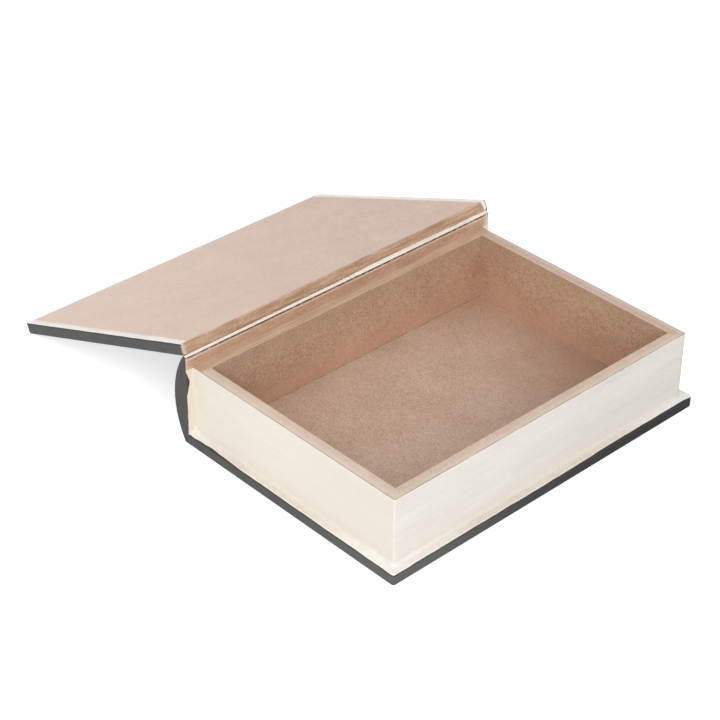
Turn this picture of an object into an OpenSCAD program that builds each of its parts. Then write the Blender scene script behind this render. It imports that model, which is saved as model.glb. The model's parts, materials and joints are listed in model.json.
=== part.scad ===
// Book box: a keepsake box shaped like a thick bound book, lying on its back
// cover. Four wall boards stand on the back cover as the page block, a D-shaped
// moulding is the spine, and the front cover is the lid. The lid hangs on a
// cloth joint along the spine's top edge and is thrown open until its fore edge
// rests on the table.
// +X runs from the spine to the fore edge, +Y along the spine from tail to head,
// +Z up. The origin is the centre of the back cover's underside. Sizes are in mm.

/* [Page block] */
// Length of the page block along the spine, over its walls
block_length = 207; // [120:1:320]
// Depth of the page block from the spine to the fore edge, over its walls
block_depth = 147; // [110:0.5:240]
// Height of the page block's walls above the back board
block_height = 39.5; // [20:0.5:65]
// Thickness of the four wall boards, paint included
wall = 6.5; // [3:0.5:12]
// Radius sanded on the two upright corners at the fore edge
corner_ease = 1; // [0.4:0.1:2.5]

/* [Covers] */
// How far both covers stand past the page block at head, tail and fore edge
overhang = 5; // [3:0.1:12]
// Thickness of the two cover boards
board = 6; // [3:0.5:10]
// Thickness of the dark covering glued over the covers and the spine
skin = 0.5; // [0.3:0.1:0.9]
// Radius over the covered outside edges of both covers
edge_round = 2; // [1.1:0.1:3]
// Radius of the covers' two fore-edge corners seen from above, over the covering
cover_corner = 1.2; // [1.1:0.1:6]

/* [Spine] */
// Depth of the spine at its fullest point, covering included
spine_bulge = 9.7; // [7:0.1:20]
// Depth of the spine's narrow top edge, covering included
spine_edge = 1.8; // [1.8:0.1:4]
// Radius under the spine's foot, over the covering
foot_round = 2.4; // [1.1:0.1:2.6]

/* [Lid and hinge] */
// Gap between the spine and the hinge edge of the closed lid
hinge_gap = 0.6; // [0.4:0.1:1]
// How far the spine's top edge stands above the closed lid
spine_rise = 0.9; // [0.8:0.1:4]
// Clearance between the closed lid and the rim of the page block
rim_clearance = 0.1; // [0:0.05:0.5]
// Thickness of the white cloth tape inside the joint
tape = 0.3; // [0.2:0.05:0.5]
// How far the joint's cloth stops short of the covers' ends
joint_inset = 0.4; // [0:0.1:3]

/* [Hidden] */
$fn = 96;

// Covers, over their covering
cover_length = block_length + 2 * overhang;
cover_depth = block_depth + overhang;
cover_thick = board + skin;

// Places along X
spine_x = -cover_depth / 2;
fore_x = cover_depth / 2;
block_fore_x = spine_x + block_depth;

// Heights above the table
floor_z = cover_thick;
rim_z = floor_z + block_height;
lid_inner_z = rim_z + rim_clearance;
lid_outer_z = lid_inner_z + cover_thick;
spine_top_z = lid_outer_z + spine_rise;

// The spine's back is one arc, fullest at half the height of the closed book
bulge_z = lid_outer_z / 2;
arc_half_height = spine_top_z - bulge_z;
arc_rise = spine_bulge - spine_edge;
arc_radius = (pow(arc_half_height, 2) + pow(arc_rise, 2)) / (2 * arc_rise);
arc_x = arc_radius - spine_bulge;

// The lid turns about the spine's top inner edge. It is open when the round of
// its fore edge touches the table, or its outer face the spine's top outer edge
// if that comes first. Reach and drop place the centre of the round from the
// hinge line, along the lid and across it.
reach = cover_depth - edge_round;
drop = spine_rise + edge_round;
table_lean = asin((spine_top_z - edge_round) / norm([reach, drop])) + atan2(drop, reach);
spine_lean = asin(min(1, spine_rise / spine_edge));
lean = min(table_lean, spine_lean);
open_angle = 180 + lean;

// Colours
mdf = [0.80, 0.67, 0.56];
page_paint = [0.93, 0.90, 0.84];
dark_cloth = [0.27, 0.27, 0.27];
white_cloth = [0.95, 0.94, 0.90];

// Outline of a cover board from above, with its fore-edge corners rounded
module cover_plan(x_lo, x_hi, half_length, corner) {
    translate([x_lo, -half_length])
        square([x_hi - corner - x_lo, 2 * half_length]);
    translate([x_lo, corner - half_length])
        square([x_hi - x_lo, 2 * (half_length - corner)]);
    for (side = [-1, 1])
        translate([x_hi - corner, side * (half_length - corner)])
            circle(r = corner);
}

// Section of a cover: its inner face at y = 0, its two outer corners rounded
module edge_section(lo, hi, thick, r) {
    translate([lo, r - thick])
        square([hi - lo, thick - r]);
    translate([lo + r, -thick])
        square([hi - lo - 2 * r, thick]);
    for (x = [lo + r, hi - r])
        translate([x, r - thick])
            circle(r = r);
}

// A cover: its inner face at z = 0, its rounded outer face below. The section
// across it starts before its hinge edge, which the plan cuts off square.
module cover_slab(x_lo, x_hi, half_length, thick, r, corner) {
    intersection() {
        translate([0, 0, -thick])
            linear_extrude(thick)
                cover_plan(x_lo, x_hi, half_length, corner);
        translate([0, half_length, 0])
            rotate([90, 0, 0])
                linear_extrude(2 * half_length)
                    edge_section(x_lo - 2 * r, x_hi, thick, r);
        translate([x_lo, 0, 0])
            rotate([90, 0, 90])
                linear_extrude(x_hi - x_lo)
                    edge_section(-half_length, half_length, thick, r);
    }
}

// The board inside a cover, smaller than the cover by the covering
module board_slab(x_lo) {
    cover_slab(
        x_lo,
        fore_x - skin,
        cover_length / 2 - skin,
        board,
        edge_round - skin,
        cover_corner - skin
    );
}

// The covering over a cover's outer face and its three free edges
module covering_slab(x_lo) {
    difference() {
        cover_slab(x_lo, fore_x, cover_length / 2, cover_thick, edge_round, cover_corner);
        board_slab(x_lo - 1);
    }
}

// Turns a lid piece, drawn with its inner face at z = 0 and facing up like the
// back cover's, over onto the closed lid and then out to where it lies open
module lid_place() {
    translate([spine_x, 0, spine_top_z])
        rotate([0, -open_angle, 0])
            translate([-spine_x, 0, lid_inner_z - spine_top_z])
                mirror([0, 0, 1])
                    children();
}

// D-shaped section of the spine, its flat face on x = 0, drawn in x and height
module spine_section(inset) {
    r = arc_radius - inset;
    foot = foot_round - inset;
    bottom = inset;
    top = spine_top_z - inset;
    foot_z = bottom + foot;
    foot_x = arc_x - sqrt(pow(r - foot, 2) - pow(bulge_z - foot_z, 2));
    out = (r / (r - foot)) * [foot_x - arc_x, foot_z - bulge_z] + [arc_x, bulge_z];
    difference() {
        intersection() {
            translate([arc_x, bulge_z])
                circle(r = r, $fn = 360);
            translate([-2 * spine_bulge, bottom])
                square([2 * spine_bulge, top - bottom]);
        }
        // the foot's outer corner, taken back to a round
        difference() {
            polygon([
                [foot_x, foot_z],
                [foot_x, bottom - 1],
                [out[0] - 1, bottom - 1],
                [out[0] - 1, out[1]],
                out
            ]);
            translate([foot_x, foot_z])
                circle(r = foot);
        }
    }
}

// The spine's section drawn out along Y, its flat face on the spine's plane
module spine_bar(inset) {
    half_length = cover_length / 2 - inset;
    translate([spine_x, half_length, 0])
        rotate([90, 0, 0])
            linear_extrude(2 * half_length)
                spine_section(inset);
}

module back_board() {
    color(mdf)
        translate([0, 0, floor_z])
            board_slab(spine_x);
}

module back_covering() {
    color(dark_cloth)
        translate([0, 0, floor_z])
            covering_slab(spine_x);
}

module spine() {
    color(mdf)
        spine_bar(skin);
}

module spine_covering() {
    color(dark_cloth)
        difference() {
            spine_bar(0);
            spine_bar(skin);
        }
}

module spine_wall() {
    color(mdf)
        translate([spine_x, -block_length / 2, floor_z])
            cube([wall, block_length, block_height]);
}

// Runs the full length, so it carries both eased corners
module fore_edge_wall() {
    color(page_paint)
        translate([0, 0, floor_z])
            linear_extrude(block_height)
                cover_plan(block_fore_x - wall, block_fore_x, block_length / 2, corner_ease);
}

// An end wall, butted between the two long walls
module end_wall(side) {
    outer_y = side * block_length / 2;
    low_y = min(outer_y, outer_y - side * wall);
    translate([spine_x + wall, low_y, floor_z])
        cube([block_depth - 2 * wall, wall, block_height]);
}

module head_wall() {
    color(page_paint)
        end_wall(1);
}

module tail_wall() {
    color(page_paint)
        end_wall(-1);
}

module lid_board() {
    color(mdf)
        lid_place()
            board_slab(spine_x + hinge_gap);
}

module lid_covering() {
    color(dark_cloth)
        lid_place()
            covering_slab(spine_x + hinge_gap);
}

// The joint's cloth spans from the crease on the hinge line to the lid's outer
// hinge corner, where the lid's covering carries on. It turns with the lid, and
// each layer thins to nothing at the crease, so the fold clears the spine whether
// the lid is open or shut. Points are from the hinge line, x outward and y up.
function opened(p) = [
    -p[0] * cos(lean) + p[1] * sin(lean),
    -p[0] * sin(lean) - p[1] * cos(lean)
];
lid_corner = opened([hinge_gap, -spine_rise]);
web_length = norm(lid_corner);
web_face = [lid_corner[1], -lid_corner[0]] / web_length;

// A layer of the joint's cloth: thickness is positive on the side of the tray
module joint_layer(thickness) {
    half_length = cover_length / 2 - joint_inset;
    translate([spine_x, half_length, spine_top_z])
        rotate([90, 0, 0])
            linear_extrude(2 * half_length)
                polygon([
                    [0, 0],
                    lid_corner,
                    lid_corner + thickness * web_face
                ]);
}

// Outer layer, in one with the covering of the spine and the lid
module hinge_covering() {
    color(dark_cloth)
        joint_layer(-skin);
}

// Inner layer, the white tape that shows between the lid and the spine
module hinge_tape() {
    color(white_cloth)
        joint_layer(tape);
}

back_board();
back_covering();
spine();
spine_covering();
spine_wall();
fore_edge_wall();
head_wall();
tail_wall();
lid_board();
lid_covering();
hinge_covering();
hinge_tape();
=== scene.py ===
"""The looks of a keepsake box shaped like a thick bound book, with its front cover thrown open.

Sizes are in metres. +X runs from the spine to the fore edge, +Y along the spine from tail to head, and +Z
up. The origin is the middle of the back cover's underside. The sections follow the box as it is put together.
"""

import json
import math

import bmesh
import bpy
from mathutils import Matrix, Vector, noise


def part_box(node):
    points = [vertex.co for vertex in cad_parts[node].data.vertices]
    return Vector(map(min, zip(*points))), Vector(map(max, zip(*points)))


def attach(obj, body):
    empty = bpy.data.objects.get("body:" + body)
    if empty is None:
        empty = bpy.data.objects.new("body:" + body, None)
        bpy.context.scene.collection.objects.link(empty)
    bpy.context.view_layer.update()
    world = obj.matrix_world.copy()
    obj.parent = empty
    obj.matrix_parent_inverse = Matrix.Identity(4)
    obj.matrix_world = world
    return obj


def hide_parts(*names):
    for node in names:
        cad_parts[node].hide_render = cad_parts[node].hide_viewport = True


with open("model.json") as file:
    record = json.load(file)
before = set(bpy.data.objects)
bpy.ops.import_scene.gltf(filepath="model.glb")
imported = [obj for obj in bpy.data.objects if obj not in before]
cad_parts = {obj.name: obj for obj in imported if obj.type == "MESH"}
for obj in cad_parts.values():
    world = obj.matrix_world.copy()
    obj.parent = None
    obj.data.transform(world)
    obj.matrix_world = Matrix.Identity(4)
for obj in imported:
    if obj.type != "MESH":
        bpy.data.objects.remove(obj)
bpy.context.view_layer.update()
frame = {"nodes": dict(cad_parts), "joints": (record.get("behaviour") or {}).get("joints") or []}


# Back cover board
# A sheet of fibreboard glued flat under the page block. Its upper face stays bare as the tray's floor,
# mottled and speckled with darker fibre.
MM = 0.001
BOARD_PALE = (224, 197, 177)
BOARD_DEEP = (178, 144, 119)
BOARD_FLECK = (108, 76, 56)
BRUSHED_DARK = (58, 54, 48)
BARE_ROUGHNESS = 0.75
cover_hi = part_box("back_covering")[1]


class Wire:
    """A socket of a node tree. Operators on it add Math nodes, and node() adds any other kind."""

    def __init__(self, socket):
        self.socket = socket

    def node(self, kind, settings=None, sockets=None, output=0):
        """Adds a node of that kind, its settings first, then its sockets' values or links."""
        tree = self.socket.id_data
        made = tree.nodes.new(kind)
        for name, value in (settings or {}).items():
            setattr(made, name, value)
        for name, value in (sockets or {}).items():
            if isinstance(value, Wire):
                tree.links.new(value.socket, made.inputs[name])
            else:
                made.inputs[name].default_value = value
        return Wire(made.outputs[output])

    def maths(self, operation, first, second=0.0):
        return self.node("ShaderNodeMath", {"operation": operation}, {0: first, 1: second})

    def __add__(self, other):
        return self.maths("ADD", self, other)

    def __sub__(self, other):
        return self.maths("SUBTRACT", self, other)

    def __mul__(self, other):
        return self.maths("MULTIPLY", self, other)

    def __rsub__(self, other):
        return self.maths("SUBTRACT", other, self)

    def __truediv__(self, other):
        return self.maths("DIVIDE", self, other)

    def __neg__(self):
        return 0.0 - self

    __radd__ = __add__
    __rmul__ = __mul__

    def least(self, other):
        return self.maths("MINIMUM", self, other)

    def most(self, other):
        return self.maths("MAXIMUM", self, other)

    def size(self):
        return self.maths("ABSOLUTE", self)

    def floor(self):
        return self.maths("FLOOR", self)

    def sine(self):
        return self.maths("SINE", self)

    def step(self, low, high):
        """0 where the value is at low, 1 at high, with a soft start and end."""
        return self.node(
            "ShaderNodeMapRange",
            {"interpolation_type": "SMOOTHSTEP"},
            {"Value": self, "From Min": low, "From Max": high},
        )

    def pick(self, colour_at_0, colour_at_1):
        """A colour between two, mixed by this value."""
        sockets = {0: self, 6: colour_at_0, 7: colour_at_1}
        return self.node("ShaderNodeMix", {"data_type": "RGBA"}, sockets, output=2)

    def axis(self, name):
        """The X, Y or Z of a place."""
        return self.node("ShaderNodeSeparateXYZ", {}, {"Vector": self}, output=name)

    def vector(self, x, y, z):
        """A place, or sizes along X, Y and Z."""
        return self.node("ShaderNodeCombineXYZ", {}, {"X": x, "Y": y, "Z": z})

    def cloud(self, patch, detail=2.0, stretch=(1, 1, 1)):
        """Cloudy noise round 0.5, with patches about that long at this place."""
        stretched = self.node("ShaderNodeVectorMath", {"operation": "MULTIPLY"}, {0: self, 1: stretch})
        sockets = {"Vector": stretched, "Scale": 1 / patch, "Detail": detail}
        return self.node("ShaderNodeTexNoise", {}, sockets)

    def flecks(self, apart, radius):
        """1 on small ragged flecks, about that far apart, and 0 between them."""
        ragged = self.node("ShaderNodeTexNoise", {}, {"Vector": self, "Scale": 2.5 / apart, "Detail": 2.0})
        cells = self.node("ShaderNodeTexVoronoi", {}, {"Vector": self, "Scale": 1 / apart})
        return (cells + 0.3 * (ragged - 0.5)).step(radius / apart, 0.3 * radius / apart)


def tint(looks):
    """A colour given as it looks, from 0 to 255, as the linear values that a shader takes."""
    parts = [c / 255 for c in looks]
    return [c / 12.92 if c <= 0.04045 else ((c + 0.055) / 1.055) ** 2.4 for c in parts] + [1.0]


def new_finish(name):
    """A new material, with a Wire on its Object coordinates to mix it from."""
    material = bpy.data.materials.new(name)
    material.use_nodes = True
    material.node_tree.nodes.clear()
    coordinates = material.node_tree.nodes.new("ShaderNodeTexCoord")
    return material, Wire(coordinates.outputs["Object"])


def lay(colour, roughness, relief, specular=0.5):
    """Ends a finish: its colour, its roughness, its relief in metres and how much it shines."""
    bump = relief.node("ShaderNodeBump", {}, {"Height": relief, "Distance": 1.0})
    sockets = {"Base Color": colour, "Roughness": roughness, "Normal": bump, "Specular IOR Level": specular}
    shader = colour.node("ShaderNodeBsdfPrincipled", {}, sockets)
    tree = colour.socket.id_data
    tree.links.new(shader.socket, tree.nodes.new("ShaderNodeOutputMaterial").inputs["Surface"])


def fibreboard(place, pale, deep, grain=1.0):
    """Pressed wood fibre: soft clouds, short fibres and small flecks. Returns its colour and its relief."""
    clouds = place.cloud(26 * MM, 2.0)
    patches = place.cloud(4 * MM, 2.0)
    fibres = place.cloud(1.1 * MM, 3.0)
    shade = 0.5 + 0.5 * (clouds - 0.5) + 0.5 * (patches - 0.5) + 1.3 * grain * (fibres - 0.5)
    few = place.cloud(6 * MM, 1.0).step(0.42, 0.6)
    dark = (place.flecks(2.1 * MM, 0.46 * MM) * few).most(place.flecks(9 * MM, 0.6 * MM))
    light = place.flecks(2.7 * MM, 0.42 * MM)
    coloured = (0.34 * grain * dark).pick(shade.pick(tint(deep), tint(pale)), tint(BOARD_FLECK))
    coloured = (0.3 * grain * light).pick(coloured, tint((244, 224, 204)))
    return coloured, 0.03 * MM * fibres - 0.02 * MM * dark


def new_object(name, data):
    """An object of that data, in the scene."""
    made = bpy.data.objects.new(name, data)
    bpy.context.scene.collection.objects.link(made)
    return made


def taken(shape, name):
    """A mesh made of a bmesh, which is freed."""
    mesh = bpy.data.meshes.new(name)
    shape.to_mesh(mesh)
    shape.free()
    return mesh


def worked(node, name, arris=0.0, exposed=None, cuts=()):
    """A copy of a CAD node: its triangles joined into flat faces, and its exposed arrises eased.

    It is first cut across at each Y in cuts, so that it can be eased in part.
    """
    shape = bmesh.new()
    shape.from_mesh(frame["nodes"][node].data)
    bmesh.ops.remove_doubles(shape, verts=shape.verts, dist=1e-6)
    bmesh.ops.dissolve_limit(shape, angle_limit=math.radians(0.2), verts=shape.verts, edges=shape.edges)
    for y in cuts:
        everything = shape.verts[:] + shape.edges[:] + shape.faces[:]
        bmesh.ops.bisect_plane(shape, geom=everything, plane_co=(0, y, 0), plane_no=(0, 1, 0))
    sharp = [edge for edge in shape.edges if edge.calc_face_angle(0.0) > math.radians(35)]
    if exposed:
        sharp = [edge for edge in sharp if exposed((edge.verts[0].co + edge.verts[1].co) / 2)]
    if arris and sharp:
        bmesh.ops.bevel(shape, geom=sharp, offset=arris, segments=3, profile=0.5, affect="EDGES")
    return finished(taken(shape, name), name)


def finished(mesh, name):
    """An object of that mesh, shaded smooth with its flat faces kept flat."""
    mesh.shade_smooth()
    mesh.set_sharp_from_angle(angle=math.radians(50))
    piece = new_object(name, mesh)
    weigh = piece.modifiers.new("flat faces stay flat", "WEIGHTED_NORMAL")
    weigh.keep_sharp = True
    return piece


def fit(piece, material, body, slot, *nodes):
    """Gives a finished piece its material, and seats it on its body in place of CAD nodes."""
    piece.data.materials.clear()
    piece.data.materials.append(material)
    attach(piece, body)
    if nodes:
        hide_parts(*nodes)


floor_finish, place = new_finish("tray_floor")
colour, relief = fibreboard(place, BOARD_PALE, BOARD_DEEP, 1.25)
# painted shade: the floor is written darker towards the fore wall and the head wall, most in the corner
# between them, where the walls shade it
fore_side_shade = (place.axis("X") + 0.4 * place.axis("Y")).step(-20 * MM, 100 * MM) * (0.6 + place.cloud(30 * MM))
colour = (0.45 * fore_side_shade).pick(colour, tint((168, 136, 116)))
corner = (0.8 * place.axis("X") + place.axis("Y")).step(30 * MM, 140 * MM)
colour = (0.4 * corner).pick(colour, tint((148, 116, 96)))
colour = (0.25 * place.axis("Y").step(30 * MM, 100 * MM)).pick(colour, tint((176, 128, 94)))
from_spine_wall = place.axis("X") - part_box("spine_wall")[1].x
# painted shade: a broken dark line along the spine wall's foot, where the crevice is shaded
crevice_shade = (from_spine_wall + 0.7 * MM * (place.cloud(4 * MM) - 0.5)).step(0.8 * MM, 0.3 * MM)
crevice_shade = crevice_shade * (0.4 + 0.6 * place.cloud(5 * MM, 3.0).step(0.4, 0.6))
colour = (0.55 * crevice_shade).pick(colour, tint((122, 80, 56)))
# the covering's dark colour, brushed a little past its edge, shows where the margin's paint stops short
from_edge = (cover_hi.x - place.axis("X")).least(cover_hi.y - place.axis("Y").size())
lay(from_edge.step(1.8 * MM, 1.7 * MM).pick(colour, tint(BRUSHED_DARK)), BARE_ROUGHNESS, relief)

back_cover_board = worked("back_board", "back_cover_board")
fit(back_cover_board, floor_finish, "case", "bare_board", "back_board")


# Page block walls
# Four strips of fibreboard, butted and glued on edge round the tray. They are bare inside. Their rims are
# sanded, worn paler along the inner arris and smeared with page paint along the outer one.
WALL_ARRIS = 0.3 * MM
RIM_SMEAR = 2.6 * MM

floor_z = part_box("back_board")[1].z
block_lo = Vector((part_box("spine_wall")[0].x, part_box("tail_wall")[0].y, floor_z))
block_hi = Vector((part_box("fore_edge_wall")[1].x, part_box("head_wall")[1].y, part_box("tail_wall")[1].z))
inner_hi = Vector((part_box("fore_edge_wall")[0].x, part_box("head_wall")[0].y, block_hi.z))


def outside_block(place):
    """How far a place lies outside the page block's three painted sides, in metres."""
    return (place.axis("X") - block_hi.x).most(place.axis("Y").size() - block_hi.y)


wall_finish, place = new_finish("wall_fibreboard")
inside, inside_relief = fibreboard(place, (216, 182, 156), (167, 130, 106), 1.5)
height = place.axis("Z") + 20 * MM * (place.cloud(18 * MM, 3.0) - 0.5)
inside = (0.3 * height.step(34 * MM, 46 * MM)).pick(inside, tint((178, 152, 126)))
# painted light: the inner faces are written paler towards their foot, offsetting the shade that falls there
inside = (0.5 * height.step(26 * MM, 6 * MM)).pick(inside, tint((212, 173, 147)))
rim, _ = fibreboard(place, (229, 209, 192), (192, 163, 142), 0.7)
rim = (0.5 * place.axis("Y").step(94 * MM, 100 * MM)).pick(rim, tint((194, 166, 148)))
inward = -outside_block(place)
wander = place.cloud(4 * MM, 3.0)
smeared = (inward + 2.4 * MM * (wander - 0.5)).step(RIM_SMEAR + 0.7 * MM, RIM_SMEAR - 0.7 * MM)
rim = (0.3 * smeared).pick(rim, tint((230, 219, 206)))
rim = (0.18 * place.axis("Y").step(-94 * MM, -100 * MM)).pick(rim, tint((243, 224, 207)))
outer_line = 0.55 * inward.step(0.55 * MM, 0.25 * MM) * place.cloud(16 * MM).step(0.2, 0.5)
rim = outer_line.pick(rim, tint((136, 122, 110)))
head_line = (block_hi.y - place.axis("Y")).step(0.9 * MM, 0.5 * MM) * place.cloud(12 * MM).step(0.25, 0.5)
rim = (0.75 * head_line).pick(rim, tint((152, 147, 140)))
from_inner_arris = (inward - (block_hi.y - inner_hi.y)).size()
worn = from_inner_arris.step(0.5 * MM, 0.1 * MM) * place.cloud(9 * MM).step(0.3, 0.6)
rim = (0.4 * worn).pick(rim, tint((238, 218, 198)))
spine_side = (place.axis("X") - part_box("spine_wall")[1].x).step(0.3 * MM, -0.3 * MM)
strokes = place.cloud(1.2 * MM, 3.0, (1, 0.06, 1))
dull_rim = (0.5 + 2.6 * (strokes - 0.5)).pick(tint((184, 150, 124)), tint((217, 184, 157)))
rim = (0.9 * spine_side).pick(rim, dull_rim)
on_rim = place.axis("Z").step(block_hi.z - 0.22 * MM, block_hi.z - 0.06 * MM)
lay(on_rim.pick(inside, rim), BARE_ROUGHNESS, inside_relief)


def on_rim_outline(middle):
    """Whether a place lies on the rim's outer or inner outline, and not on a joint between two walls."""
    outer = abs(middle.y) > block_hi.y - 0.1 * MM or middle.x > block_hi.x - 0.1 * MM
    inner = abs(middle.y) < inner_hi.y + 0.1 * MM and block_lo.x + 0.1 * MM < middle.x < inner_hi.x + 0.1 * MM
    return middle.z > block_hi.z - 0.1 * MM and (outer or inner)


# the long walls' inner arris is eased only between the end walls
ends = (-inner_hi.y, inner_hi.y)
for node, cuts in (("spine_wall", ends), ("fore_edge_wall", ends), ("head_wall", ()), ("tail_wall", ())):
    board = worked(node, node + "_board", WALL_ARRIS, on_rim_outline, cuts)
    fit(board, wall_finish, "case", "bare_board", node)


# Spine moulding
# A D-shaped fibreboard moulding, glued with its flat face to the spine wall and the back cover's edge. Its
# flat face stays bare above the rim, and dark where the covering's colour was brushed over its two ends.
GLUE_AND_SHADE_WIDENING = 0.0012
spine_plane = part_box("spine")[1].x

spine_finish, place = new_finish("spine_fibreboard")
bare, relief = fibreboard(place, (218, 183, 153), (165, 129, 102))
strokes = place.cloud(1.6 * MM, 3.0, (1, 0.06, 1))
bare = (1.4 * (strokes - 0.5)).most(0.0).pick(bare, tint((226, 196, 168)))
height = place.axis("Z")
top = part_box("spine")[1].z
below = top - height
pale_line = below.step(0.7 * MM, 1.1 * MM) * below.step(2.3 * MM, 1.7 * MM)
pale_line = pale_line * place.cloud(9 * MM).step(0.25, 0.5)
bare = (0.6 * pale_line).pick(bare, tint((243, 218, 192)))
# the dark line under the joint, glue and painted shade in the crease below the tape, widens a little towards
# the head
glue_and_shade_line = (below - GLUE_AND_SHADE_WIDENING * (place.axis("Y") + 60 * MM).most(0.0)).step(0.8 * MM, 0.4 * MM)
bare = (0.9 * glue_and_shade_line * place.cloud(2.6 * MM, 2.0).step(0.32, 0.54)).pick(bare, tint((62, 48, 38)))
past_end = place.axis("Y").size() - block_hi.y
ragged = 1.5 * MM * (place.cloud(3 * MM) - 0.5)
end_arris = (past_end + ragged).step(1.6 * MM, 4.4 * MM)
bare = (0.6 * end_arris).pick(bare, tint((230, 206, 190)))
far_smear = (place.axis("Y") - block_hi.y + ragged).step(0.4 * MM, 3.4 * MM)
bare = (0.75 * far_smear).pick(bare, tint((228, 211, 199)))
darkened = height.step(block_hi.z - 0.1 * MM, block_hi.z - 0.6 * MM) * past_end.step(-0.5 * MM, 0.5 * MM)
lay(darkened.pick(bare, tint(BRUSHED_DARK)), BARE_ROUGHNESS, relief)

spine_moulding = worked("spine", "spine_moulding")
fit(spine_moulding, spine_finish, "case", "bare_board", "spine")


# Page-edge paint
# Thick ivory paint on the block's three free sides, combed into fine level lines that stand for the page
# edges. It fills the corner against the spine, laps onto the spine's ends and thickens at the foot.
PAINT = 0.12 * MM
PAINT_BEHIND = 0.05 * MM
PAINT_TOP = block_hi.z - 0.28 * MM
PAINT_ROUGHNESS = 0.62
# How fine the film's mesh is: up the walls, along them, and over each end of the spine
PAINT_ROW = 0.225 * MM
PAINT_COLUMN = 1.7 * MM
LAP_COLUMNS = 7
CORNER_FILL = 0.9 * MM
FRONT_EASE = 1.0 * MM
# How far the thick foot spreads from the front corner, and the blob from the filled corner
FOOT_SPREAD = 26 * MM
BLOB_SPREAD = 2.6 * MM
PAGE_PITCH = 1.35 * MM
PAGE_DEPTH = 0.07 * MM
PAGE_WANDER = 2.4
BRIGHTEST_WHITE = (252, 250, 245)
# Where the dark colour was brushed over the spine's near end, in mm: height above the back board, and reach
DARK_CREEP = (
    (0, 0.0), (4, 0.25), (18, 0.35), (24, 0.45), (28, 1.5), (31, 2.4), (33, 2.3), (36.4, 1.1), (39.5, 0.1)
)


def between(pairs, at):
    """The value at a place along a line of (place, value) pairs."""
    for (low, low_value), (high, high_value) in zip(pairs, pairs[1:]):
        if at <= high:
            return low_value + (high_value - low_value) * max(0.0, (at - low) / (high - low))
    return pairs[-1][1]


def wobble(seed, *place):
    """Smooth noise from -1 to 1 at up to three numbers, different for each seed."""
    spots = list(place) + [0.0] * (3 - len(place))
    return noise.noise(Vector(spots) + Vector((seed * 17.3, seed * 9.1, seed * 5.7)))


def arc(centre, radius, start, end, steps, away):
    """Stations round an arc, in degrees: a place in plan, and the way from the centre times away."""
    stations = []
    for step in range(steps + 1):
        turn = math.radians(start + (end - start) * step / steps)
        ray = Vector((math.cos(turn), math.sin(turn)))
        stations.append((Vector(centre) + radius * ray, away * ray))
    return stations


def straight(start, end, way):
    """Stations between two places in plan, without the places themselves."""
    start, end = Vector(start), Vector(end)
    count = round((end - start).length / PAINT_COLUMN)
    return [(start.lerp(end, step / count), Vector(way)) for step in range(1, count)]


def smooth(value):
    """From 0 to 1, with a soft start and end."""
    value = min(1.0, max(0.0, value))
    return value * value * (3 - 2 * value)


def closed(shape, name):
    """A mesh made of a closed bmesh, its many-sided faces cut into triangles and all its faces outward."""
    bmesh.ops.triangulate(shape, faces=[face for face in shape.faces if len(face.verts) > 4])
    bmesh.ops.recalc_face_normals(shape, faces=shape.faces)
    return taken(shape, name)


def lofted(name, rings):
    """A closed solid from a line of closed rings of points, with its two ends filled."""
    shape = bmesh.new()
    loops = [[shape.verts.new(point) for point in ring] for ring in rings]
    for loop, following in zip(loops, loops[1:]):
        for index in range(len(loop)):
            after = (index + 1) % len(loop)
            shape.faces.new((loop[index], following[index], following[after], loop[after]))
    shape.faces.new(loops[0][::-1])
    shape.faces.new(loops[-1])
    return closed(shape, name)


near_fill = Vector((block_lo.x + CORNER_FILL, -block_hi.y - CORNER_FILL))
far_fill = Vector((near_fill.x, -near_fill.y))
front = Vector((block_hi.x - FRONT_EASE, -block_hi.y + FRONT_EASE))

# round the block, from the spine's near end to its far end. A lap's places vary with the height
lap = [(None, Vector((1, 0)))] * LAP_COLUMNS
paint_run = lap + arc(near_fill, CORNER_FILL, 180, 90, 5, -1)
paint_run += straight((near_fill.x, -block_hi.y), (front.x, -block_hi.y), (0, -1))
paint_run += arc(front, FRONT_EASE, -90, 0, 6, 1)
paint_run += straight((block_hi.x, front.y), (block_hi.x, -front.y), (1, 0))
paint_run += arc((front.x, -front.y), FRONT_EASE, 0, 90, 6, 1)
paint_run += straight((front.x, block_hi.y), (far_fill.x, block_hi.y), (0, 1))
paint_run += arc(far_fill, CORNER_FILL, 270, 180, 5, -1) + lap


def foot_flare(place):
    """How far the paint's foot stands out at a station: a brush's leavings, thickest at the front corner."""
    spot = place / MM
    corner = math.exp(-(place - Vector((block_hi.x, -block_hi.y))).length / FOOT_SPREAD)
    rough = wobble(3, spot.x / 9, spot.y / 9) + 0.8 * wobble(4, spot.x / 2.6, spot.y / 2.6)
    blob = math.exp(-((place - near_fill).length / BLOB_SPREAD) ** 2)
    return max(0.04, 0.2 + 0.16 * rough + corner * (0.5 + 0.4 * rough) + 0.5 * blob) * MM


def lap_place(index, above):
    """A station's place on an end of the spine, that high above the back board, and its film's thickness."""
    last = len(paint_run) - 1
    near = index < last / 2
    share = ((index if near else last - index) / LAP_COLUMNS) ** 1.6
    creep = between(DARK_CREEP, above / MM) if near else 0.3 + 0.25 * wobble(7, above / MM / 6)
    creep += 0.18 * wobble(7 if near else 9, above / MM / 2.5)
    edge = cover_hi.y - 0.04 * MM - max(0.0, creep) * MM
    reach = edge + (far_fill.y - edge) * share
    return Vector((block_lo.x, -reach if near else reach)), PAINT * smooth(0.15 + 3 * share)


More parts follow.
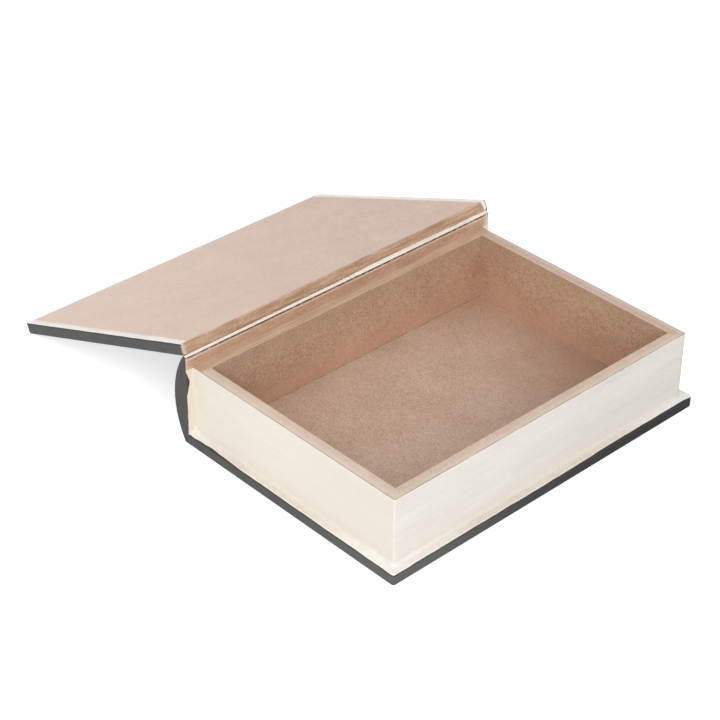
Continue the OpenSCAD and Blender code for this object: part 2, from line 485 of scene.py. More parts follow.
def paint_ring(index, place, way):
    """The points round the paint at one station: up its outer face and down behind it."""
    rows = round((PAINT_TOP - floor_z) / PAINT_ROW)
    at_end = index in (0, len(paint_run) - 1)
    ring = []
    spots = []
    for row in range(rows + 1):
        above = (PAINT_TOP - floor_z) * row / rows
        spot, film = lap_place(index, above) if place is None else (place, PAINT)
        foot_height = (1.6 + 0.9 * wobble(5, *(spot / MM / 5))) * MM
        flare = foot_flare(spot) * (1 - smooth(above / foot_height)) ** 1.5
        top_round = smooth((PAINT_TOP - above - floor_z) / (0.3 * MM))
        out = -0.8 * PAINT_BEHIND if at_end else (film + flare) * (0.25 + 0.75 * top_round)
        height = floor_z - PAINT_BEHIND + above * (1 + PAINT_BEHIND / (PAINT_TOP - floor_z))
        if row == rows:
            height += 0.1 * MM * wobble(6, *(spot / MM / 4))
        ring.append(Vector((*(spot + way * out), height)))
        spots.append(spot)
    for spot, level in ((spots[-1], ring[-1].z), (spots[0], ring[0].z)):
        ring.append(Vector((*(spot - way * PAINT_BEHIND), level)))
    return ring


paint_mesh = lofted("page_block_paint", [paint_ring(i, *station) for i, station in enumerate(paint_run)])

# the comb reaches the walls' faces, and neither the paint's foot nor its top edge
combed = paint_mesh.attributes.new("combed", "FLOAT", "POINT")
for vertex in paint_mesh.vertices:
    inside_block = abs(vertex.co.y) < block_hi.y + 0.05 * MM and vertex.co.x < block_hi.x + 0.05 * MM
    on_face = vertex.co.x > near_fill.x and not inside_block
    clear_of_foot = smooth((vertex.co.z - floor_z) / (2 * MM) - 0.6)
    clear_of_top = smooth((PAINT_TOP - vertex.co.z) / (0.8 * MM) - 0.4)
    combed.data[vertex.index].value = on_face * clear_of_foot * clear_of_top


def new_pattern(name, inputs):
    """A Geometry Nodes tree with a geometry in and out and number inputs. Returns it and its input wires."""
    tree = bpy.data.node_groups.new(name, "GeometryNodeTree")
    tree.interface.new_socket("Geometry", in_out="INPUT", socket_type="NodeSocketGeometry")
    for title in inputs:
        tree.interface.new_socket(title, in_out="INPUT", socket_type="NodeSocketFloat")
    tree.interface.new_socket("Geometry", in_out="OUTPUT", socket_type="NodeSocketGeometry")
    entry = tree.nodes.new("NodeGroupInput")
    return tree, {socket.name: Wire(socket) for socket in entry.outputs if socket.name}


def end_pattern(shape, material):
    """Ends a tree: real faces instead of instances, in one material."""
    real = shape.node("GeometryNodeRealizeInstances", {}, {"Geometry": shape})
    dressed = real.node("GeometryNodeSetMaterial", {}, {"Geometry": real, "Material": material})
    tree = shape.socket.id_data
    tree.links.new(dressed.socket, tree.nodes.new("NodeGroupOutput").inputs[0])


def run_pattern(piece, tree, values):
    """Runs a tree on a piece with those inputs, and leaves the result as a plain mesh."""
    maker = piece.modifiers.new(tree.name, "NODES")
    maker.node_group = tree
    for item in tree.interface.items_tree:
        if item.in_out == "INPUT" and item.name in values:
            maker[item.identifier] = values[item.name]
    made = piece.evaluated_get(bpy.context.evaluated_depsgraph_get())
    mesh = bpy.data.meshes.new_from_object(made)
    piece.modifiers.remove(maker)
    piece.data = mesh


paint_finish, place = new_finish("page_edge_paint")
length = place.axis("X") + place.axis("Y")
height = place.axis("Z")
level = place.vector(length, 0.0, height)
broad = level.cloud(14 * MM, 3.0, (0.22, 1, 1))
lines = level.cloud(0.75 * MM, 2.0, (0.016, 1, 1))
short = level.cloud(0.5 * MM, 1.0, (0.12, 1, 1))
shade = 0.5 + 0.9 * (broad - 0.5) + 1.0 * (lines - 0.5) + 0.7 * (short - 0.5)
calm = 0.5 + 0.7 * (broad - 0.5) + 0.5 * (lines - 0.5) + 0.3 * (short - 0.5)
pages = calm.pick(tint((231, 224, 209)), tint((248, 243, 232)))
past_fore_edge = place.axis("X") - block_hi.x
past_end = place.axis("Y").size() - block_hi.y
# painted shade: the fore side's paint is written a little darker than the tail side's, and darker still
# towards the head
fore_side = past_fore_edge.step(-0.8 * MM, -0.1 * MM)
headward = place.axis("Y").step(-130 * MM, 130 * MM)
fore_pages = headward.pick(
    shade.pick(tint((225, 218, 208)), tint((242, 238, 230))),
    shade.pick(tint((210, 205, 198)), tint((232, 228, 223))),
)
pages = fore_side.pick(pages, fore_pages)
above = height - floor_z
corner = (past_fore_edge + 38 * MM).least(-place.axis("Y") - block_hi.y + 46 * MM)
ragged = above + 3.2 * MM * (place.cloud(3 * MM, 3.0) - 0.5)
thick = ragged.step(3.2 * MM, 1.1 * MM) * (0.25 + 0.75 * corner.step(0.0, 40 * MM))
thick = 0.62 * (thick * place.cloud(7 * MM).step(0.2, 0.5))
# painted highlight: the paint is written paler along its top edge, where it catches the light below the rim
lip = (PAINT_TOP - height).step(0.7 * MM, 0.15 * MM)
pages = (0.5 * lip * level.cloud(12 * MM).step(0.3, 0.6)).pick(pages, tint((250, 248, 242)))
# painted highlight: a faint pale line along the front corner's arris
arris = past_fore_edge.least(past_end).step(-0.3 * MM, -0.2 * MM)
pages = (0.12 * arris).pick(pages, tint(BRIGHTEST_WHITE))
foot_tone = place.cloud(8 * MM).pick(tint((226, 217, 203)), tint((243, 236, 226)))
foot_tone = (0.6 * fore_side).pick(foot_tone, tint((228, 219, 209)))
pages = (0.7 * ragged.step(9 * MM, 0.4 * MM)).pick(pages, foot_tone)
frontward = place.axis("X").step(-10 * MM, 65 * MM) * (1 - fore_side)
pages = (0.3 * frontward).pick(pages, tint((224, 218, 204)))
headmost = fore_side * place.axis("Y").step(block_hi.y - 3.5 * MM, block_hi.y - 2 * MM)
pages = (0.35 * headmost).pick(pages, tint((208, 203, 196)))
pages = thick.pick(pages, tint(BRIGHTEST_WHITE))
on_spine = past_end.step(0.3 * MM, 0.9 * MM)
on_spine = on_spine * (place.axis("X") - spine_plane).step(0.6 * MM, 0.3 * MM)
strokes = place.cloud(1.0 * MM, 3.0, (1, 1, 0.06))
peach = (0.5 + 1.9 * (strokes - 0.5)).pick(tint((224, 209, 188)), tint((243, 234, 219)))
pages = (0.85 * on_spine).pick(pages, peach)
# painted shade: the round corner fill is written darker, dimming the light it catches
fill_shade = (past_end - 0.5 * CORNER_FILL).size().step(0.7 * MM, 0.2 * MM)
fill_shade = fill_shade * (place.axis("X") - near_fill.x).step(0.1 * MM, -0.2 * MM)
pages = (0.55 * fill_shade).pick(pages, tint((226, 215, 197)))
from_fill = (place.axis("X") - near_fill.x).size() + (place.axis("Y") - near_fill.y).size() + 0.35 * above
pages = (0.55 * from_fill.step(3.6 * MM, 1.4 * MM)).pick(pages, tint((247, 241, 234)))
lay(pages, PAINT_ROUGHNESS, 0.012 * MM * lines)

page_lines, inputs = new_pattern("page_lines", ("Pitch", "Depth", "Wander"))
spot = inputs["Geometry"].node("GeometryNodeInputPosition")
length = spot.axis("X") + spot.axis("Y")
height = spot.axis("Z")
level = spot.vector(length * 0.02, 0.0, height)
turns = height / inputs["Pitch"] + level.cloud(9 * MM, 2.0) * inputs["Wander"]
wave = (turns * math.tau).sine()
patchy = spot.vector(length * 0.2, 0.0, height).cloud(6 * MM, 2.0).step(0.25, 0.7)
scratch = level.cloud(0.6 * MM, 1.0) - 0.5
push = (0.3 * wave * patchy + 0.9 * scratch) * inputs["Depth"]
mask = spot.node("GeometryNodeInputNamedAttribute", {"data_type": "FLOAT"}, {"Name": "combed"})
outward = spot.node("GeometryNodeInputNormal")
offset = outward.node("ShaderNodeVectorMath", {"operation": "SCALE"}, {0: outward, "Scale": push * mask})
combing = spot.node("GeometryNodeSetPosition", {}, {"Geometry": inputs["Geometry"], "Offset": offset})
end_pattern(combing, paint_finish)

# the combed film is smooth all over: no faces of it are kept flat
page_block_paint = finished(paint_mesh, "page_block_paint")
page_block_paint.modifiers.clear()
run_pattern(page_block_paint, page_lines, {"Pitch": PAGE_PITCH, "Depth": PAGE_DEPTH, "Wander": PAGE_WANDER})
page_block_paint.data.shade_smooth()
fit(page_block_paint, paint_finish, "case", "page_paint")


# Margin paint
# The same paint, brushed thinly along both covers' three free margins and over the edge of their covering.
# It is painted brighter on its arris, a painted highlight. On the lid its inner border fades into the bare
# board.
COAT = 0.1 * MM
COAT_BEHIND = 0.03 * MM
MARGIN = cover_hi.x - block_hi.x
LID_MARGIN = MARGIN + 1.6 * MM
MARGIN_CORNER = 1.0 * MM
# How fine the coat's mesh is: the columns along each side, round each corner and along the fore edge
SIDE_COLUMNS = 70
CORNER_COLUMNS = 8
FORE_COLUMNS = 110
# The coat's section: over its top, shares of the way to its inner border, and over its round outer lip,
# distances in from its edge, each with its rise as a share of the film
COAT_TOP = ((1.0, 0.1), (0.85, 0.6), (0.6, 0.8), (0.35, 0.9), (0.15, 1.05))
COAT_LIP = ((0.5 * MM, 1.15), (0.22 * MM, 1.0), (0.07 * MM, 0.65), (0.0, 0.1))
# Where more of the dark colour shows past the near margin's paint, in mm: distance from the spine, and reach
MARGIN_CREEP = ((0, 0.4), (3.5, -0.1), (9, 0.4), (13, 0.5), (16, 1.0), (18.5, 1.0), (26, 0.6), (38, 0.0))

# shut closes the lid. flat_lid turns it over as well, to lie as the back cover does: inner face up, at z = 0
hinge = frame["joints"][0]
hinge_place = Vector(hinge["pos_m"])
open_angle = math.radians(hinge["range_deg"][1])
to_hinge = Matrix.Translation(-hinge_place)
shut = Matrix.Translation(hinge_place) @ Matrix.Rotation(open_angle, 4, "Y") @ to_hinge
shut_lid = [shut @ vertex.co for vertex in frame["nodes"]["lid_board"].data.vertices]
lid_z = min(point.z for point in shut_lid)
lid_x = min(point.x for point in shut_lid)
flat_lid = Matrix.Diagonal((1, 1, -1, 1)) @ Matrix.Translation((0, 0, -lid_z)) @ shut


def cover_outline(start_x, inset, corner):
    """Places round a cover's three free edges in plan, that far in from the edge."""
    edge = Vector((cover_hi.x - inset, cover_hi.y - inset))
    centre = edge - Vector((corner, corner))
    depth = edge.x - 3 * MM - start_x
    along = [start_x + depth * step / SIDE_COLUMNS for step in range(SIDE_COLUMNS + 1)]
    reach = centre.y - 1.5 * MM
    across = [-reach + 2 * reach * step / FORE_COLUMNS for step in range(FORE_COLUMNS + 1)]
    spots = [Vector((x, -edge.y)) for x in along]
    spots += [spot for spot, _ in arc((centre.x, -centre.y), corner, -90, 0, CORNER_COLUMNS, 1)]
    spots += [Vector((edge.x, y)) for y in across]
    spots += [spot for spot, _ in arc(centre, corner, 0, 90, CORNER_COLUMNS, 1)]
    spots += [Vector((x, edge.y)) for x in along[::-1]]
    return spots


def margin_creep(spot):
    """How much further the paint stops short of the back cover's edge, in millimetres as its place is."""
    if spot.x < block_hi.x / MM:
        return between(MARGIN_CREEP, spot.x - block_lo.x / MM) if spot.y < 0 else 0.0
    return 0.75 * smooth(spot.y / 60) * smooth((107 - spot.y) / 5)


def coat(name, start_x, width, to_place, seed, creep=None):
    """A thin coat of paint on a cover's margins: a round outer lip and a feathered inner border.

    It is drawn with the cover lying flat, and to_place moves it to where the cover lies.
    """
    outer = cover_outline(start_x, 0.05 * MM, MARGIN_CORNER)
    inner = cover_outline(start_x, width, 0.4 * MM)
    rings = []
    for edge, border in zip(outer, inner):
        spot = edge / MM
        fine = wobble(seed + 1, spot.x / 1.7, spot.y / 1.7)
        pull = 0.3 + 0.22 * wobble(seed, spot.x / 7, spot.y / 7) + 0.1 * fine
        if creep:
            pull += creep(spot)
        pull = max(0.08, pull) * MM
        film = COAT * smooth(0.1 + (edge.x - start_x) / MM)
        way = (border - edge).normalized()
        lip = pull + 0.5 * MM
        reach = (border - edge).length - lip
        ring = []
        for share, rise in COAT_TOP:
            bumps = 0.25 * wobble(seed + 2, *(edge.lerp(border, share) / MM / 6), share)
            ring.append((edge + way * (lip + reach * share), film * (rise + bumps * rise)))
        for inset, rise in COAT_LIP:
            ring.append((edge + way * (pull + inset), film * rise))
        ring.append((edge + way * (pull + 0.02 * MM), -COAT_BEHIND))
        ring.append((border, -COAT_BEHIND))
        rings.append([to_place @ Vector((*place, height)) for place, height in ring])
    return lofted(name, rings)


def margin_paint(place, inward, pale, deep):
    """Brushed paint on a margin, with a painted highlight on its arris. Returns its colour."""
    brushed = place.cloud(2.2 * MM, 3.0)
    clouds = place.cloud(20 * MM)
    shade = 0.5 + 1.5 * (brushed - 0.5) + 1.3 * (clouds - 0.5)
    colour = shade.pick(tint(deep), tint(pale))
    # painted highlight: the paint is written near white along the arris
    return (0.75 * inward.step(1.1 * MM, 0.45 * MM)).pick(colour, tint((254, 252, 248)))


margin_finish, place = new_finish("brushed_margin")
inward = (cover_hi.x - place.axis("X")).least(cover_hi.y - place.axis("Y").size())
dull = margin_paint(place, inward, (239, 231, 219), (220, 210, 197))
white = margin_paint(place, inward, (249, 246, 242), (235, 230, 223))
corner = (place.axis("X") - block_hi.x + 60 * MM).least(-place.axis("Y") - block_hi.y + 60 * MM)
headward = place.axis("Y").step(30 * MM, 100 * MM)
whiter = corner.step(0.0, 50 * MM).most(headward).most((place.axis("X") - block_lo.x).step(30 * MM, 0.0))
colour = (whiter + 0.6 * (place.cloud(9 * MM) - 0.5)).pick(dull, white)
colour = (0.5 * inward.step(3.2 * MM, MARGIN)).pick(colour, tint((238, 231, 222)))
by_head = place.axis("Y").step(50 * MM, 90 * MM) * (place.axis("X") - block_hi.x).step(0.0, MM)
colour = (0.4 * by_head).pick(colour, tint((246, 247, 248)))
lay(colour, PAINT_ROUGHNESS, 0.02 * MM * place.cloud(1.5 * MM))

to_floor = Matrix.Translation((0, 0, floor_z))
margin_mesh = coat("cover_margin_paint", block_lo.x, MARGIN + 0.3 * MM, to_floor, 21, margin_creep)
cover_margin_paint = finished(margin_mesh, "cover_margin_paint")
fit(cover_margin_paint, margin_finish, "case", "page_paint")


# Front cover board
# The lid: a sheet of fibreboard, bare inside, with a painted border round its three free edges. Its hinge
# edge is sawn square and a little browner, with paint on both ends.
LID_PALE = (237, 213, 198)
LID_DEEP = (194, 169, 151)


def lid_flat(place):
    """A place in the lid, turned flat: X from the spine, Y along it, Z from the inner face outward."""
    shift = shut.translation - Vector((0, 0, lid_z))
    sockets = {"Vector": place, "Location": shift, "Rotation": (0, open_angle, 0)}
    return place.node("ShaderNodeMapping", {"vector_type": "POINT"}, sockets)


lid_finish, place = new_finish("lid_fibreboard")
flat = lid_flat(place)
bare, relief = fibreboard(flat, LID_PALE, LID_DEEP, 0.8)
blush = flat.cloud(7 * MM, 3.0).step(0.4, 0.65)
bare = (0.3 * blush).pick(bare, tint((226, 196, 184)))
# painted light: the lid's face is written paler towards the tail end and the free edge, and darker towards
# the far end and the hinge
light_falloff = (flat.axis("X") - 1.1 * flat.axis("Y")).step(-160 * MM, 200 * MM)
bare = (0.45 * light_falloff).pick(bare, tint((244, 222, 206)))
from_fore_edge = cover_hi.x - flat.axis("X")
from_end = cover_hi.y - flat.axis("Y").size()
inward = from_fore_edge.least(from_end)
narrow = (2.1 * from_fore_edge).least(from_end)
ragged = narrow + 1.8 * MM * (flat.cloud(3.5 * MM, 3.0) - 0.5) + 2.0 * MM * (flat.cloud(30 * MM) - 0.5)
painted = ragged.step(MARGIN + 1.0 * MM, MARGIN - 1.6 * MM)
face = painted.pick(bare, margin_paint(flat, inward, (253, 249, 246), (240, 231, 225)))
streaks = flat.cloud(1.2 * MM, 3.0, (1, 0.06, 1))
sawn = (0.5 + 3.0 * (streaks - 0.5)).pick(tint((174, 138, 109)), tint((214, 180, 151)))
sawn = (0.4 * flat.cloud(1.1 * MM, 3.0).step(0.6, 0.3)).pick(sawn, tint((150, 114, 86)))
dabbed = (from_end + 1.6 * MM * (flat.cloud(2 * MM, 3.0) - 0.5)).step(3.6 * MM, 1.2 * MM)
far_patch = (cover_hi.y - flat.axis("Y") + 0.4 * flat.axis("Z")).step(4.4 * MM, 3.2 * MM)
sawn = (0.6 * dabbed).pick(sawn, tint((232, 212, 196)))
sawn = (0.9 * far_patch).pick(sawn, tint((252, 248, 244)))
lit_arris = flat.axis("Z").step(1.5 * MM, 0.4 * MM) * flat.cloud(14 * MM).step(0.35, 0.65)
sawn = (0.5 * lit_arris).pick(sawn, tint((230, 206, 186)))
# glue and painted shade: a broken dark line beside the tape, in the joint's crack
glue_and_shade_line = flat.axis("Z").step(4.9 * MM, 5.5 * MM) * flat.cloud(3 * MM, 3.0).step(0.4, 0.5)
glue_and_shade_line = glue_and_shade_line * flat.axis("Y").step(20 * MM, -40 * MM)
sawn = (0.28 * glue_and_shade_line).pick(sawn, tint((96, 70, 52)))
on_hinge_edge = (flat.axis("X") - lid_x).step(0.2 * MM, 0.05 * MM)
lay(on_hinge_edge.pick(face, sawn), BARE_ROUGHNESS, relief)


def on_lid_outline(middle):
    """Whether a place on the lid lies on its free outline or its hinge edge's inner arris."""
    spot = flat_lid @ middle
    on_free_edge = abs(spot.y) > cover_hi.y - 0.1 * MM or spot.x > cover_hi.x - 0.1 * MM
    return on_free_edge or (spot.x < lid_x + 0.05 * MM and spot.z > -0.05 * MM)


front_cover_board = worked("lid_board", "front_cover_board", 0.2 * MM, on_lid_outline)
fit(front_cover_board, lid_finish, "lid", "bare_board", "lid_board")

lid_coat = coat("front_cover_paint", lid_x + 0.02 * MM, LID_MARGIN, flat_lid.inverted(), 31)
front_cover_paint = finished(lid_coat, "front_cover_paint")
fit(front_cover_paint, lid_finish, "lid", "page_paint")


# Dark covering
# A thin matt dark covering, glued over the outside of both covers and the spine, with softened arrises. A
# brown line runs along its edges under the ivory paint. As painted shade it is written near black at the head
# and along the back cover's fore edge towards the head, and as painted light it is paler by the front corner.
# The lid's fore edge, which rests on the table, is rounder than its other edges.
COVERING_ARRIS = 0.12 * MM
COVERING_ROUGHNESS = 0.62
COVER_EDGE = 1.2 * MM
COVER_CORNER = 1.8 * MM
RESTING_EDGE = 2.0 * MM
FOOT_EASE = COVER_EDGE
BEND_STEPS = 8


def dark_finish(place, below_arris, painted_shade, marks=()):
    """The covering: mottled charcoal with a fine grain, a dark line below the arris, and a part darkened as
    painted shade.

    Marks are pairs of a mask and the colour that shows there.
    """
    mottle = place.cloud(9 * MM, 3.0)
    grain = place.cloud(0.8 * MM, 2.0)
    shade = 0.5 + 1.0 * (mottle - 0.5) + 1.6 * (grain - 0.5)
    dark = shade.pick(tint((68, 68, 67)), tint((88, 88, 87)))
    dark = painted_shade.pick(dark, shade.pick(tint((15, 14, 14)), tint((25, 24, 23))))
    for mask, colour in marks:
        dark = mask.pick(dark, tint(colour))
    if below_arris:
        line = (below_arris + 0.4 * MM * (place.cloud(3 * MM) - 0.5)).step(0.95 * MM, 0.5 * MM)
        dark = (0.75 * line).pick(dark, tint((58, 50, 42)))
    lay(dark, COVERING_ROUGHNESS, 0.012 * MM * grain + 0.04 * MM * mottle, 0.3)


# painted shade: this mask writes the covering's far end near black
def at_head(y):
    """1 on the far end of a cover or the spine, at this distance along it, and 0 along the rest."""
    return y.step(cover_hi.y - 1.9 * MM, cover_hi.y - 0.5 * MM)


back_dark, place = new_finish("back_cover_dark")
# painted shade: the back cover's fore edge is written near black towards the head
painted_shade = place.axis("Y").step(-150 * MM, 75 * MM) * (place.axis("X") - block_hi.x).step(0.0, 3 * MM)
# painted light: the covering is written paler by the front corner
lit_front_corner = place.axis("X").step(-20 * MM, 70 * MM) * place.axis("Y").step(-10 * MM, -100 * MM)
dark_finish(place, floor_z - place.axis("Z"), painted_shade, ((0.6 * lit_front_corner, (98, 98, 93)),))

# dried glue and page paint show on the spine's narrow top edge beside the joint
spine_dark, place = new_finish("spine_dark")
along = place.axis("Y")
below = hinge_place.z - place.axis("Z")
edge_on = (place.axis("X") - spine_plane).step(-0.4 * MM, -0.05 * MM) * below.step(0.1 * MM, 0.3 * MM)
glued = 0.85 * edge_on * along.step(-30 * MM, 30 * MM) * (1 - at_head(along))
glued = glued * place.cloud(2 * MM, 3.0).step(0.35, 0.5)
painted = edge_on * along.step(cover_hi.y - 0.7 * MM, cover_hi.y - 0.5 * MM) * below.step(MM, 1.4 * MM)
end_shade = 0.3 * along.size().step(cover_hi.y - 2 * MM, cover_hi.y - 0.5 * MM)
marks = ((end_shade, (60, 60, 60)), (glued, (172, 138, 110)), (painted, (232, 218, 208)))
dark_finish(place, None, at_head(along), marks)

lid_dark, place = new_finish("front_cover_dark")
flat = lid_flat(place)
raw_edge = (flat.axis("X") - lid_x).step(0.2 * MM, 0.05 * MM) * flat.axis("Y").step(30 * MM, -30 * MM)
raw_edge = 0.85 * raw_edge * flat.cloud(3 * MM, 3.0).step(0.3, 0.48)
dark_finish(flat, flat.axis("Z"), at_head(flat.axis("Y")), ((raw_edge, (184, 152, 126)),))


def cover_sheet(name, start_x, fore_round, to_place):
    """A cover's covering: over the outer face, turned up round three edges, and open at the hinge edge.

    It is drawn on the back cover, and to_place moves it from there to its own cover.
    """
    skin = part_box("back_board")[0].z
    centre = cover_hi.xy - Vector((COVER_CORNER, COVER_CORNER))
    stations = [(Vector((start_x, -cover_hi.y)), Vector((0, 1)))]
    stations += arc((centre.x, -centre.y), COVER_CORNER, -90, 0, BEND_STEPS, -1)
    stations += arc(centre, COVER_CORNER, 0, 90, BEND_STEPS, -1)
    stations += [(Vector((start_x, cover_hi.y)), Vector((0, -1)))]
    shape = bmesh.new()
    sections = []
    for spot, way in stations:
        radius = COVER_EDGE + (fore_round - COVER_EDGE) * smooth(-1.5 * way.x)
        turns = [math.radians(90 - 90 * step / BEND_STEPS) for step in range(BEND_STEPS + 1)]
        section = [(radius - radius * math.cos(turn), radius - radius * math.sin(turn)) for turn in turns]
        section += [(0.0, floor_z - COVERING_ARRIS), (0.3 * COVERING_ARRIS, floor_z - 0.3 * COVERING_ARRIS)]
        section += [(COVERING_ARRIS, floor_z), (skin, floor_z), (skin, skin)]
        points = [to_place @ Vector((*(spot + way * inset), height)) for inset, height in section]
        sections.append([shape.verts.new(point) for point in points])
    for section, following in zip(sections, sections[1:]):
        for index in range(len(section) - 1):
            shape.faces.new((section[index], following[index], following[index + 1], section[index + 1]))
    shape.faces.new([section[0] for section in sections])
    shape.faces.new([section[-1] for section in sections])
    shape.faces.new(sections[0] + sections[-1][::-1])
    return finished(closed(shape, name), name)


back_cover_covering = cover_sheet("back_cover_covering", block_lo.x, COVER_EDGE, Matrix())
fit(back_cover_covering, back_dark, "case", "dark_covering", "back_covering")
from_outer_face = flat_lid.inverted() @ Matrix.Translation((0, 0, -floor_z))
front_cover_covering = cover_sheet("front_cover_covering", lid_x, RESTING_EDGE, from_outer_face)
fit(front_cover_covering, lid_dark, "lid", "dark_covering", "lid_covering")

# the spine's foot is eased at both ends, where it meets the back cover's rounded edge
foot_insets = [FOOT_EASE * share for share in (0.14, 0.3, 0.5, 0.75, 1)]
foot_cuts = [side * (cover_hi.y - inset) for side in (-1, 1) for inset in foot_insets]
spine_outer_covering = worked("spine_covering", "spine_outer_covering", COVERING_ARRIS, cuts=foot_cuts)
for vertex in spine_outer_covering.data.vertices:
    short = min(FOOT_EASE, FOOT_EASE - cover_hi.y + abs(vertex.co.y))
    if short > 0:
        vertex.co.z = max(vertex.co.z, FOOT_EASE - math.sqrt(FOOT_EASE**2 - short**2))
fit(spine_outer_covering, spine_dark, "case", "dark_covering", "spine_covering")


# Cloth joint
# The lid hangs on a strip of cloth: the dark covering outside and a white cotton tape inside, woven with
# fine ribs across it. It folds on a soft crease along the spine's top edge, and its upper edge is frayed.
THREAD_PITCH = 0.5 * MM
THREAD_FRAY = 0.35
THREAD_SIDES = 6
# A thread's taper: shares of its length, and how thick it is there
THREAD_TAPER = ((0.16, 0.3), (0.3, 1.0), (0.85, 1.0), (1.0, 0.45))
FOLD = 0.2 * MM
FOLD_COLUMNS = 40

tape_finish, place = new_finish("cotton_tape")
ribs = place.cloud(0.8 * MM, 2.0, (1, 0.5, 1))
stain = place.cloud(12 * MM, 3.0).step(0.35, 0.75)
white = (0.5 + 0.7 * (ribs - 0.5)).pick(tint((242, 237, 227)), tint((254, 252, 246)))
lay((0.3 * stain).pick(white, tint((206, 190, 168))), 0.85, 0.03 * MM * ribs)

# in section the tape is a slim wedge, from the crease to its two corners at the lid
tape_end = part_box("hinge_tape")[1].y
crease_line = Vector((hinge_place.x, 0, hinge_place.z))
tape_points = {(round(v.co.x, 7), round(v.co.z, 7)) for v in frame["nodes"]["hinge_tape"].data.vertices}
tape_corners = sorted((Vector((x, 0, z)) for x, z in tape_points), key=lambda p: (p - crease_line).length)
lid_corner, tape_corner = sorted(tape_corners[-2:], key=lambda p: p.z)
across = tape_corner - crease_line
lid_way = lid_corner - crease_line
fold_angle = math.atan2(lid_way.z, lid_way.x)

# one rib of the tape: a slim rounded thread that tapers at both ends
turns = [math.tau * step / THREAD_SIDES for step in range(THREAD_SIDES)]
thread_rings = []
for share, thick in THREAD_TAPER:
    ring = [(share, 0.5 * thick * math.cos(turn), 0.22 * thick * math.sin(turn)) for turn in turns]
    thread_rings.append(ring)
thread_shape = bpy.data.objects.new("tape_thread", lofted("tape_thread", thread_rings))

ribbing, inputs = new_pattern("tape_ribbing", ("Pitch", "Length", "Fray"))
count = (inputs["Length"] / inputs["Pitch"]).floor()
apart = inputs["Pitch"].vector(0.0, inputs["Pitch"], 0.0)
line = inputs["Geometry"].node(
    "GeometryNodeMeshLine",
    {"mode": "OFFSET"},
    {"Count": count, "Start Location": (0, 0, 0), "Offset": apart},
)
tail_end = inputs["Length"].vector(crease_line.x, -0.5 * inputs["Length"], crease_line.z)
line = line.node("GeometryNodeTransform", {}, {"Geometry": line, "Translation": tail_end})
spot = line.node("GeometryNodeInputPosition")
loose = spot.cloud(7 * MM, 2.0).step(0.45, 0.75)
random = spot.node("FunctionNodeRandomValue", {"data_type": "FLOAT"}, {"Seed": 4}, output=1)
headward = spot.axis("Y").step(-110 * MM, 110 * MM)
swell = spot.axis("Y").step(-5 * MM, 35 * MM) * spot.axis("Y").step(80 * MM, 50 * MM)
reach = across.length * (0.95 + 0.5 * headward + 0.5 * swell) * (1 + inputs["Fray"] * random * (0.3 + loose))
long_size = spot.vector(reach, inputs["Pitch"] * 1.05, inputs["Pitch"] * 0.42)
lean = spot.node("FunctionNodeRandomValue", {"data_type": "FLOAT"}, {2: -0.12, 3: 0.12, "Seed": 9}, output=1)
pose = spot.vector(0.0, math.atan2(-across.z, across.x), lean)
one_thread = spot.node(
    "GeometryNodeObjectInfo",
    {"transform_space": "ORIGINAL"},
    {"Object": thread_shape},
    output="Geometry",
)
threads = line.node(
    "GeometryNodeInstanceOnPoints",
    {},
    {"Points": line, "Instance": one_thread, "Rotation": pose, "Scale": long_size},
)
both = threads.node("GeometryNodeJoinGeometry")
tree = both.socket.id_data
joiner = both.socket.node
tree.links.new(threads.socket, joiner.inputs[0])
tree.links.new(inputs["Geometry"].socket, joiner.inputs[0])
end_pattern(both, tape_finish)


def with_fold(node, name, first_angle):
    """A layer of the joint from the CAD, with its half of the round fold, from that angle across it."""
    rings = []
    for step in range(FOLD_COLUMNS + 1):
        y = tape_end * (2 * step / FOLD_COLUMNS - 1)
        size = FOLD * (1 + 0.15 * wobble(12, y / MM / 9)) * (0.4 if step in (0, FOLD_COLUMNS) else 1.0)
        turns = [first_angle - math.pi * turn / 6 for turn in range(7)]
        half_round = [Vector((size * math.cos(turn), y, size * math.sin(turn))) for turn in turns]
        rings.append([crease_line + point for point in half_round])
    layer = worked(node, name)
    both = bmesh.new()
    both.from_mesh(layer.data)
    both.from_mesh(lofted("fold", rings))
    both.to_mesh(layer.data)
    both.free()
    return layer


joint_outer_cloth = with_fold("hinge_covering", "joint_outer_cloth", fold_angle - math.pi)
fit(joint_outer_cloth, spine_dark, "lid", "dark_covering", "hinge_covering")
joint_inner_tape = with_fold("hinge_tape", "joint_inner_tape", fold_angle)
joint_inner_tape.modifiers.clear()
tape_sizes = {"Pitch": THREAD_PITCH, "Length": 2 * tape_end - MM, "Fray": THREAD_FRAY}
run_pattern(joint_inner_tape, ribbing, tape_sizes)
bpy.data.objects.remove(thread_shape)
joint_inner_tape.data.shade_smooth()
fit(joint_inner_tape, tape_finish, "lid", "white_tape", "hinge_tape")


# Studio
# A plain white table and room, three wide soft lamps and the camera where the photograph was taken.
TABLE_SIDE = 12.0
# The table's glow to the camera and in gloss, and the room's to all but the camera, where 1 is white
TABLE_GLOW = 0.66
SKY = 0.66
LAMP_SIZE = 1.1
LAMP_DISTANCE = 1.7
# The three soft lamps: name, azimuth from the tail side and height in degrees, and power in watts
LAMPS = (("key_lamp", 60, 26, 9.5), ("fill_lamp", 0, 50, 5.0), ("lid_lamp", 270, 20, 3.5))

table = bpy.data.meshes.new("table_top")
half = TABLE_SIDE / 2
corners = [(-half, -half, 0), (half, -half, 0), (half, half, 0), (-half, half, 0)]
table.from_pydata(corners, [], [(0, 1, 2, 3)])
table_top = new_object("table_top", table)

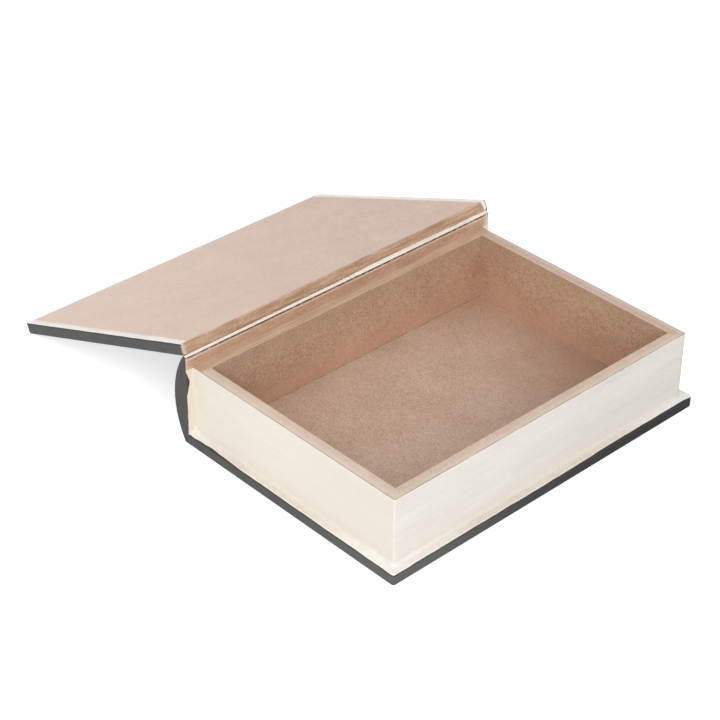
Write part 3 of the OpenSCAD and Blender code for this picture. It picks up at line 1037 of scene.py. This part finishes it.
table_finish = bpy.data.materials.new("table_white")
table_finish.use_nodes = True
tree = table_finish.node_tree
tree.nodes.clear()
path = Wire(tree.nodes.new("ShaderNodeLightPath").outputs["Is Camera Ray"])
seen = path.most(path.node("ShaderNodeLightPath", output="Is Glossy Ray"))
matt = path.node("ShaderNodeBsdfDiffuse", {}, {"Color": tint((238, 238, 238))})
glow = path.node("ShaderNodeEmission", {}, {"Color": (1, 1, 1, 1), "Strength": TABLE_GLOW * seen})
both = path.node("ShaderNodeAddShader", {}, {0: matt, 1: glow})
tree.links.new(both.socket, tree.nodes.new("ShaderNodeOutputMaterial").inputs["Surface"])
table.materials.append(table_finish)

room = bpy.data.worlds.new("white_room")
bpy.context.scene.world = room
room.use_nodes = True
tree = room.node_tree
tree.nodes.clear()
path = Wire(tree.nodes.new("ShaderNodeLightPath").outputs["Is Camera Ray"])
back = path.node("ShaderNodeBackground", {}, {"Color": (1, 1, 1, 1), "Strength": SKY + (1 - SKY) * path})
tree.links.new(back.socket, tree.nodes.new("ShaderNodeOutputWorld").inputs["Surface"])

for name, azimuth, rise, power in LAMPS:
    lamp = bpy.data.lights.new(name, "AREA")
    lamp.shape = "DISK"
    lamp.size = LAMP_SIZE
    lamp.energy = power
    around, up = math.radians(azimuth), math.radians(rise)
    way = Vector((math.cos(up) * math.sin(around), -math.cos(up) * math.cos(around), math.sin(up)))
    stand = LAMP_DISTANCE * way
    facing = stand.to_track_quat("Z", "Y").to_matrix().to_4x4()
    new_object(name, lamp).matrix_world = Matrix.Translation(stand) @ facing

CAMERA_AIM = Vector((-0.034553, -0.027615, 0.036372))
CAMERA_AZIMUTH = math.radians(47.125)
CAMERA_ELEVATION = math.radians(33.965)
CAMERA_ROLL = math.radians(0.228)
CAMERA_DISTANCE = 1.03662
CAMERA_LENS = 101.020
CAMERA_SENSOR = 36.0

camera = bpy.data.cameras.new("camera")
camera.sensor_width = CAMERA_SENSOR
camera.lens = CAMERA_LENS
camera_stand = new_object("camera", camera)
turn = (
    Matrix.Rotation(CAMERA_AZIMUTH, 4, "Z")
    @ Matrix.Rotation(math.pi / 2 - CAMERA_ELEVATION, 4, "X")
    @ Matrix.Rotation(CAMERA_ROLL, 4, "Z")
)
backed_off = Matrix.Translation((0, 0, CAMERA_DISTANCE))
camera_stand.matrix_world = Matrix.Translation(CAMERA_AIM) @ turn @ backed_off
bpy.context.scene.camera = camera_stand
bpy.context.scene.view_settings.view_transform = "Standard"
